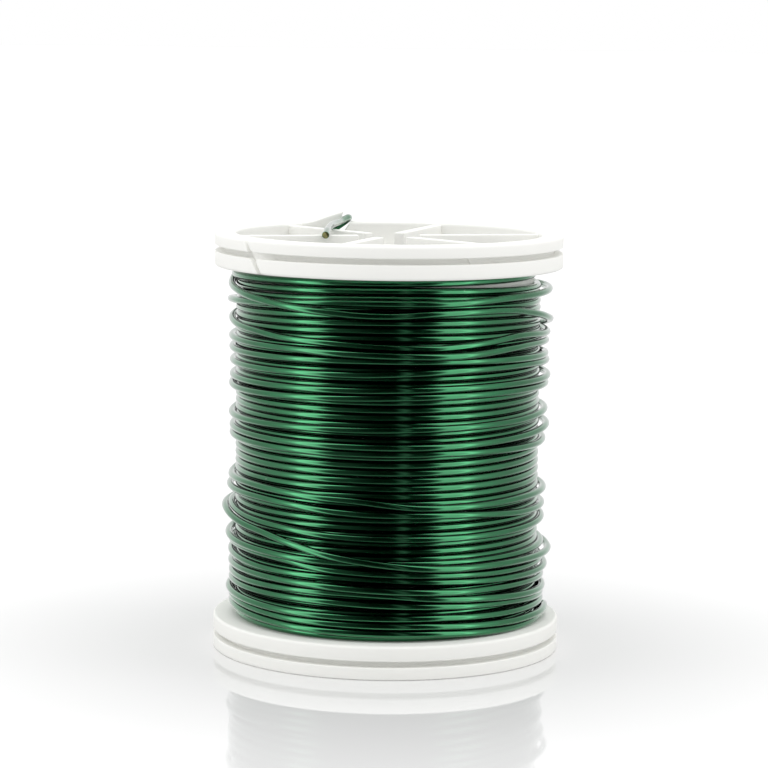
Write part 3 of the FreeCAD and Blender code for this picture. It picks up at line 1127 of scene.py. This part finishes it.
class SPOOL_OT_winding(bpy.types.Operator):
    """Winding: the close first layer, the looser upper turns and the free end, as the wire lies"""

    bl_idname = "wire_spool.winding"
    bl_label = "Winding"

    def execute(self, context):
        sizes = context.scene.wire_sizes
        first, upper = lay_winding()
        close = [winding_point(*p) for p in first]
        lower = wire_tube("wire_first_layer", close, sizes.lower_sides, LOWER_FULLNESS)
        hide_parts("wire_inner_layers")
        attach(lower, "spool")

        run = [winding_point(*p) for p in upper]
        end = cylinder_point(LEAD_OUT_RADIUS, LEAD_OUT_ANGLE, LEAD_OUT_HEIGHT)
        lead_out(run, end)
        run += line_through([end] + [Vector(p) for p in FREE_END])
        top = wire_tube("wire_upper_turns", run, sizes.upper_sides)
        bare_the_cut(top, sizes.film)
        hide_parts("wire_outer_layer", "wire_free_end")
        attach(top, "spool")
        total = sum((b - a).length for points in (close, run) for a, b in zip(points, points[1:]))
        print("wire length in the winding %.2f m" % (total * MM))
        return {"FINISHED"}


# The stage

# What glossy surfaces see at each bearing: 0 is the camera's side, + is its right, and 1 is white
SKY_PEAK = 3.0
SKY_BACK = 0.8
GLOSSY_SKY = (
    (-150, 1.0), (-135, 0.92), (-118, 0.70), (-98, 0.70), (-87, 0.86), (-80, 1.05), (-73, 1.9), (-70, 3.0),
    (-58, 2.1), (-54, 1.6), (-51, 0.65), (-47, 0.16), (-36, 0.11), (-17, 0.03), (-8, 0.01), (7, 0.01),
    (14, 0.28), (19, 0.02), (32, 0.03), (36, 0.12), (40, 0.55), (43, 1.65), (58, 1.75), (63, 2.9), (72, 1.2),
    (78, 0.95), (90, 0.74), (110, 0.62), (130, 0.74), (152, 0.95),
)
# High up behind the spool, glossy surfaces see the backdrop. Matt ones see the room, darker near the table
BACKDROP_LEVEL = 2.0
ROOM_LOW = 0.69
ROOM_TOP = 1.48
# Soft lamps: name, azimuth, elevation, distance, width and height in metres, and strength. Azimuth 0 is the
# camera's side, and + is its right
SOFTBOXES = (
    ("left_softbox", -80, 20, 0.55, (0.36, 0.62), 0.58),
    ("left_core", -84, 18, 0.53, (0.09, 0.50), 1.0),
    ("right_softbox", 80, 20, 0.55, (0.29, 0.62), 0.58),
    ("right_core", 86, 18, 0.53, (0.08, 0.50), 1.1),
)
LAMPS_AIM = Vector((0, 0, 0.019))
TABLE_REACH = 4.0
# The table's own colour and the share of its mirror image, for the camera and for other glossy surfaces
TABLE_WHITE = 0.68
TABLE_DIM = 0.36
TABLE_POLISH = 0.34
TABLE_GRAZING = 0.97
# The camera as the picture was taken: its place in millimetres, its tilt down and roll, and its lens
CAMERA_PLACE = (-0.33, -274.23, 58.81)
CAMERA_TILT = 7.159
CAMERA_ROLL = 0.620
CAMERA_LENS = 140.18
CAMERA_SENSOR = 36.0


def softbox(name, azimuth, elevation, distance, size, strength):
    """A soft rectangular lamp that faces the spool, and that glossy surfaces don't see."""
    turn, rise = math.radians(azimuth), math.radians(elevation)
    away = Vector((math.sin(turn) * math.cos(rise), -math.cos(turn) * math.cos(rise), math.sin(rise)))
    lamp = bpy.data.lights.new(name, "AREA")
    lamp.shape = "RECTANGLE"
    lamp.size, lamp.size_y = size
    lamp.energy = strength * math.pi * size[0] * size[1]
    holder = placed(name, lamp)
    holder.location = LAMPS_AIM + away * distance
    holder.rotation_euler = away.to_track_quat("Z", "Y").to_euler()
    holder.visible_glossy = False


def studio_world():
    """A white studio. Glossy surfaces see it by bearing, as the picture's reflections show: dark towards the
    camera, bright at both sides, white behind."""
    world = bpy.data.worlds.new("studio")
    bpy.context.scene.world = world
    world.use_nodes = True
    tree = world.node_tree
    tree.nodes.clear()
    output = tree.nodes.new("ShaderNodeOutputWorld")
    direction = tree.nodes.new("ShaderNodeTexCoord").outputs["Generated"]
    split = add_node(tree, "ShaderNodeSeparateXYZ", {"Vector": direction})
    ahead = math_node(tree, "MULTIPLY", split.outputs["Y"], -1.0)
    bearing = math_node(tree, "ARCTAN2", split.outputs["X"], ahead)
    share = add_node(
        tree, "ShaderNodeMapRange", {"Value": bearing, "From Min": -math.pi, "From Max": math.pi}
    ).outputs["Result"]
    ramp = add_node(tree, "ShaderNodeValToRGB", {"Fac": share})
    ramp.color_ramp.interpolation = "LINEAR"
    stops = ramp.color_ramp.elements
    stops[0].position, stops[0].color = 0.0, grey(SKY_BACK / SKY_PEAK)
    stops[1].position, stops[1].color = 1.0, grey(SKY_BACK / SKY_PEAK)
    for degrees, level in GLOSSY_SKY:
        stops.new(0.5 + degrees / 360).color = grey(level / SKY_PEAK)
    bright = mix_colour(tree, 1.0, ramp.outputs["Color"], grey(SKY_PEAK), "MULTIPLY")
    behind = math_node(tree, "ADD", split.outputs["Z"], math_node(tree, "MULTIPLY", split.outputs["Y"], 0.35))
    glossy = mix_colour(tree, smooth_step(tree, behind, 0.93, 1.02), bright, grey(BACKDROP_LEVEL))
    soft = mix_colour(tree, smooth_step(tree, split.outputs["Z"], 0.1, 0.9), grey(ROOM_LOW), grey(ROOM_TOP))
    path = tree.nodes.new("ShaderNodeLightPath")
    dim = mix_colour(tree, path.outputs["Is Glossy Ray"], soft, glossy)
    seen = mix_colour(tree, path.outputs["Is Camera Ray"], dim, grey(1.0))
    sky = add_node(tree, "ShaderNodeBackground", {"Color": seen, "Strength": 1.0})
    tree.links.new(sky.outputs[0], output.inputs["Surface"])


def white_table():
    """Glossy white table: it keeps the spool's shadow and mirror image, and is white to the camera elsewhere.
    Other glossy surfaces see it as a dark mirror, as the picture's wire does."""
    material, tree, output = new_material("white_table")
    path = tree.nodes.new("ShaderNodeLightPath")
    direct = path.outputs["Is Camera Ray"]
    bounced = path.outputs["Is Glossy Ray"]
    place = tree.nodes.new("ShaderNodeTexCoord").outputs["Object"]
    away = add_node(tree, "ShaderNodeVectorMath", {0: place}, operation="LENGTH").outputs["Value"]
    # The table glows for the camera, more weakly near the spool: painted shade round the spool, besides its
    # real shadow
    glow_with_painted_shade = math_node(tree, "MULTIPLY", direct, smooth_step(tree, away, 15 * MM, 70 * MM, 0.12, 0.42))
    shade = mix_colour(tree, bounced, grey(TABLE_WHITE), grey(TABLE_DIM))
    matt = add_node(tree, "ShaderNodeBsdfDiffuse", {"Color": shade})
    glow = add_node(tree, "ShaderNodeEmission", {"Color": grey(1.0), "Strength": glow_with_painted_shade})
    mirror = add_node(tree, "ShaderNodeBsdfGlossy", {"Color": grey(0.95), "Roughness": 0.04})
    body = add_node(tree, "ShaderNodeAddShader", {0: matt.outputs[0], 1: glow.outputs[0]})
    facing = add_node(tree, "ShaderNodeLayerWeight", {"Blend": 0.5}).outputs["Facing"]
    grazing = math_node(tree, "MULTIPLY", bounced, smooth_step(tree, facing, 0.08, 0.38, 0.0, TABLE_GRAZING))
    polish = math_node(tree, "ADD", math_node(tree, "MULTIPLY", direct, TABLE_POLISH), grazing)
    whole = add_node(tree, "ShaderNodeMixShader", {0: polish, 1: body.outputs[0], 2: mirror.outputs[0]})
    tree.links.new(whole.outputs[0], output.inputs["Surface"])
    return material


class SPOOL_OT_stage(bpy.types.Operator):
    """Stage: white table, studio light and the camera at the picture's angle"""

    bl_idname = "wire_spool.stage"
    bl_label = "Stage"

    def execute(self, context):
        scene = context.scene
        mesh = bpy.data.meshes.new("table")
        corners = [(TABLE_REACH * x, TABLE_REACH * y, 0) for x, y in ((-1, -1), (1, -1), (1, 1), (-1, 1))]
        mesh.from_pydata(corners, [], [(0, 1, 2, 3)])
        mesh.materials.append(white_table())
        table = placed("table", mesh)
        studio_world()
        for settings in SOFTBOXES:
            softbox(*settings)

        lens = bpy.data.cameras.new("camera")
        lens.sensor_width = CAMERA_SENSOR
        lens.lens = CAMERA_LENS
        lens.clip_start = 0.01
        camera = placed("camera", lens)
        tilt = Matrix.Rotation(math.radians(90 - CAMERA_TILT), 4, "X")
        roll = Matrix.Rotation(math.radians(CAMERA_ROLL), 4, "Z")
        camera.matrix_world = Matrix.Translation(Vector(CAMERA_PLACE) * MM) @ (tilt @ roll)
        scene.camera = camera
        scene.view_settings.view_transform = "Standard"
        return {"FINISHED"}


class SPOOL_PT_panel(bpy.types.Panel):
    """Lists the spool's pieces in the order they are made"""

    bl_idname = "SPOOL_PT_panel"
    bl_label = "Wire Spool"
    bl_space_type = "VIEW_3D"
    bl_region_type = "UI"
    bl_category = "Wire Spool"

    def draw(self, context):
        layout = self.layout
        for group in (context.scene.spool_sizes, context.scene.wire_sizes, context.scene.spool_colours):
            column = layout.column(align=True)
            for name in group.__annotations__:
                column.prop(group, name)
        for operator in PIECE_OPERATORS:
            layout.operator(operator.bl_idname)


PIECE_OPERATORS = (
    SPOOL_OT_stage,
    SPOOL_OT_winding,
    SPOOL_OT_upper_flange,
    SPOOL_OT_catch_tongue,
    SPOOL_OT_lower_flange,
    SPOOL_OT_barrel,
    SPOOL_OT_ribs,
)
GROUPS = (SpoolSizes, WireSizes, SpoolColours)


def register():
    for cls in GROUPS + PIECE_OPERATORS + (SPOOL_PT_panel,):
        bpy.utils.register_class(cls)
    bpy.types.Scene.spool_sizes = PointerProperty(type=SpoolSizes)
    bpy.types.Scene.wire_sizes = PointerProperty(type=WireSizes)
    bpy.types.Scene.spool_colours = PointerProperty(type=SpoolColours)


def unregister():
    del bpy.types.Scene.spool_colours
    del bpy.types.Scene.wire_sizes
    del bpy.types.Scene.spool_sizes
    for cls in reversed(GROUPS + PIECE_OPERATORS + (SPOOL_PT_panel,)):
        bpy.utils.unregister_class(cls)


def main():
    register()
    bpy.ops.wire_spool.stage()
    bpy.ops.wire_spool.winding()
    bpy.ops.wire_spool.upper_flange()
    bpy.ops.wire_spool.catch_tongue()
    bpy.ops.wire_spool.lower_flange()
    bpy.ops.wire_spool.barrel()
    bpy.ops.wire_spool.ribs()


if __name__ == "__main__":
    main()
